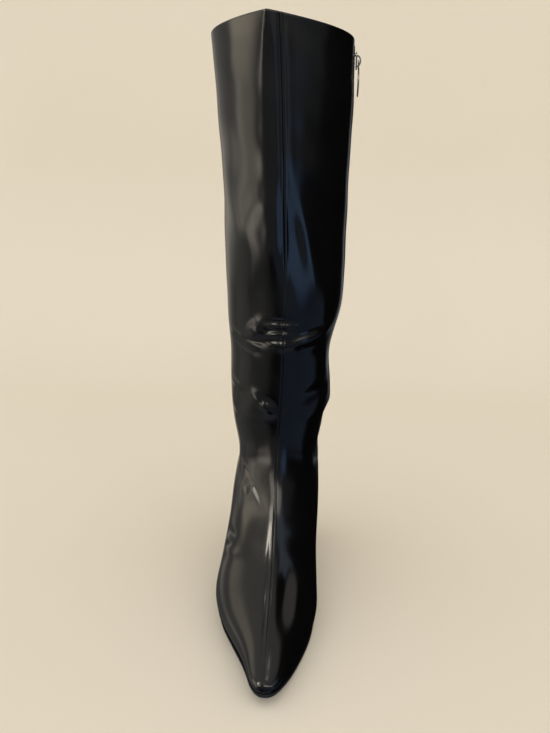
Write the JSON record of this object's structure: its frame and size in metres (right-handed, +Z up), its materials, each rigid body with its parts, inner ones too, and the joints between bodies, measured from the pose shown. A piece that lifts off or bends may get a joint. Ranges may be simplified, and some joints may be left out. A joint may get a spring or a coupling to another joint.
{
  "type": "knee-high heeled boot",
  "caption": "Knee-high right boot in glossy black leather with a pointed toe, covered block heel and inner side zip; hollow shaft and foot.",
  "frame": {"origin": "middle of the flat spot of the outsole under the ball of the foot, on the floor plane", "axes": "+Z up the shaft, toe towards -Y, +X towards the inner side of the foot (right boot)"},
  "size_m": [0.1225, 0.2605, 0.488],
  "materials": {
    "upper_leather": "glossy, fine grain",
    "lining": "brushed knit",
    "insole": "matt",
    "sole_rubber": "matt",
    "heel_cover": "glossy",
    "zip_tape": "woven",
    "zip_teeth": "dark satin",
    "zip_metal": "polished nickel",
    "thread": "bonded thread"
  },
  "bodies": {
    "boot": {"upper": "upper_leather", "insole": "insole", "outsole": "sole_rubber", "heel": "heel_cover", "heel_tip": "sole_rubber", "zip_chain": "zip_teeth", "zip_slider": "zip_metal"},
    "pull": {"zip_pull": "zip_metal"}
  },
  "joints": [
    {"name": "zip_pull_swing", "type": "hinge", "parent": "boot", "child": "pull", "pos_m": [0.05886, 0.09555, 0.46637], "axis": [-0.022, -0.9998, 0.0022], "range_deg": [-2, 160]}
  ]
}
